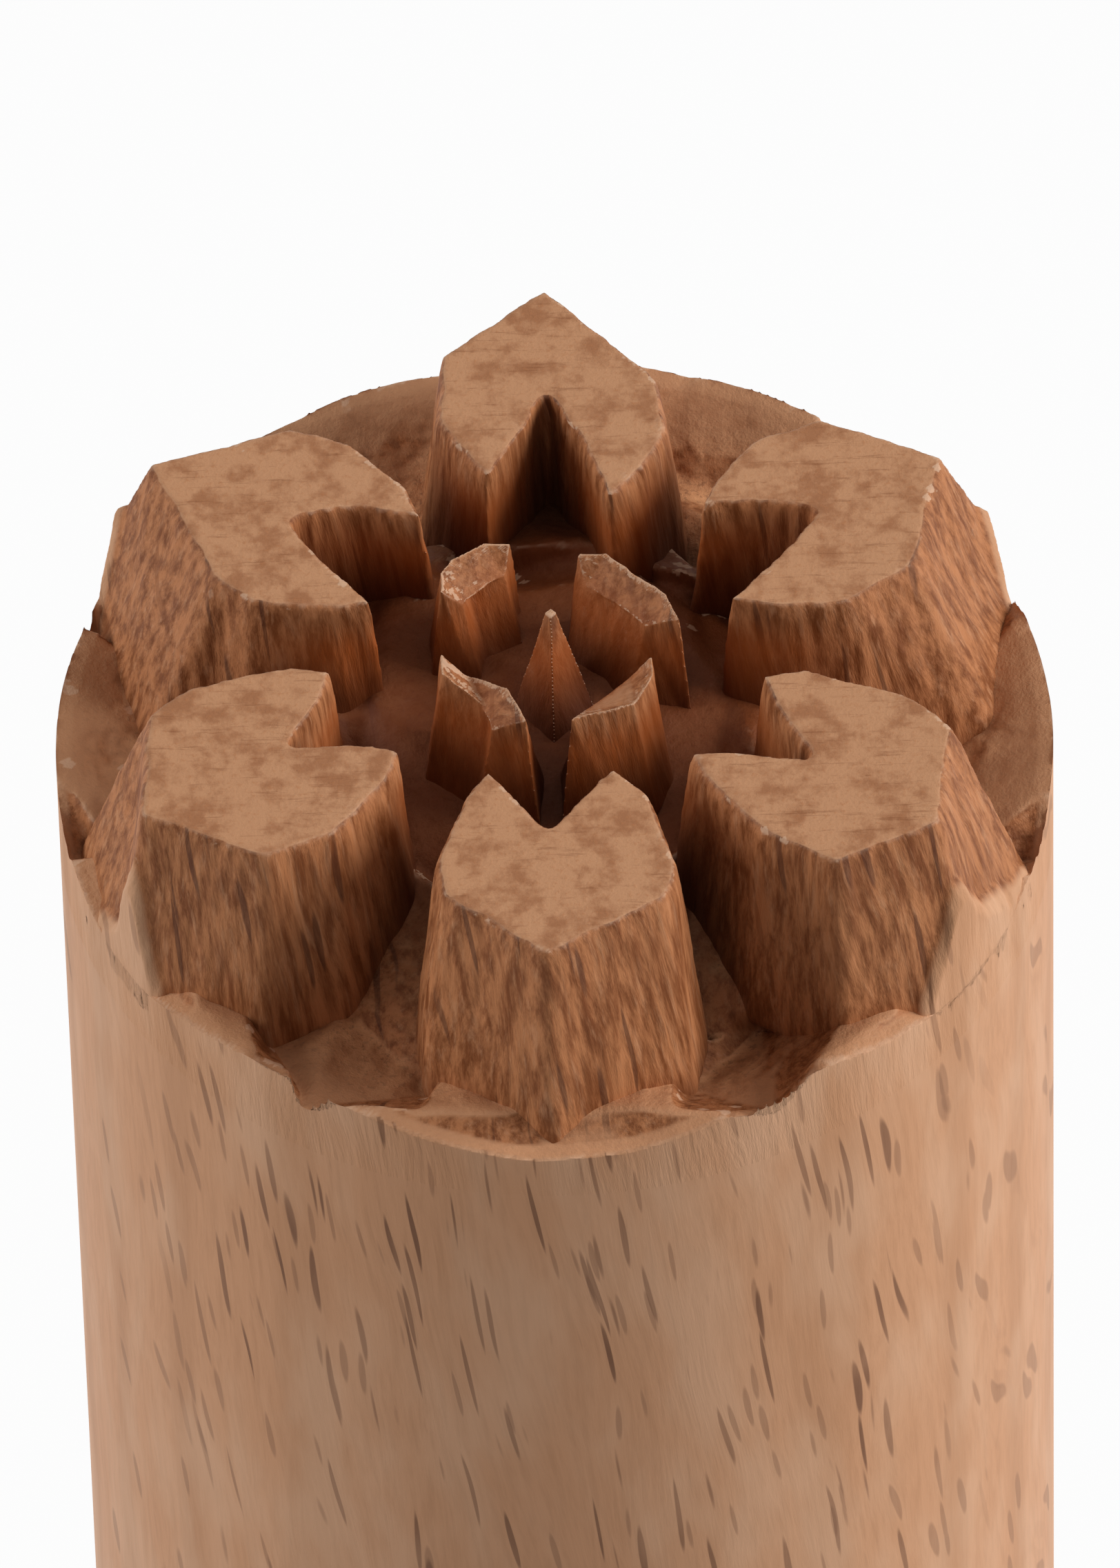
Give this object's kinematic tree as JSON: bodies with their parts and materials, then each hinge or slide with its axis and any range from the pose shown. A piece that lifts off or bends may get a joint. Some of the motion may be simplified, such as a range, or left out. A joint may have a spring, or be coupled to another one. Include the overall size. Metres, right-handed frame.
{
  "type": "clay stamp",
  "caption": "Round beech dowel stamp with a petalled flower carved deep into its upper end, for pressing a relief pattern into soft clay.",
  "frame": {"origin": "centre of the plain end face that the stamp stands on", "axes": "+Z along the dowel, from the plain end up to the carved printing face; -Y is the side that the picture shows as the front, under a petal's tip"},
  "size_m": [0.025, 0.025, 0.075],
  "materials": {
    "sanded_beech": "sanded, bare",
    "printed_beech": "cut end grain, bare",
    "cut_beech": "gouged, darkened by use"
  },
  "bodies": {
    "root": {"shank": "sanded_beech", "carved_ground": "cut_beech", "petal_back": "printed_beech", "petal_back_left": "printed_beech", "petal_front_left": "printed_beech", "petal_front": "printed_beech", "petal_front_right": "printed_beech", "petal_back_right": "printed_beech", "bud_back_right": "printed_beech", "bud_back_left": "printed_beech", "bud_front_left": "printed_beech", "bud_front_right": "printed_beech", "centre_pip": "printed_beech"}
  },
  "joints": []
}
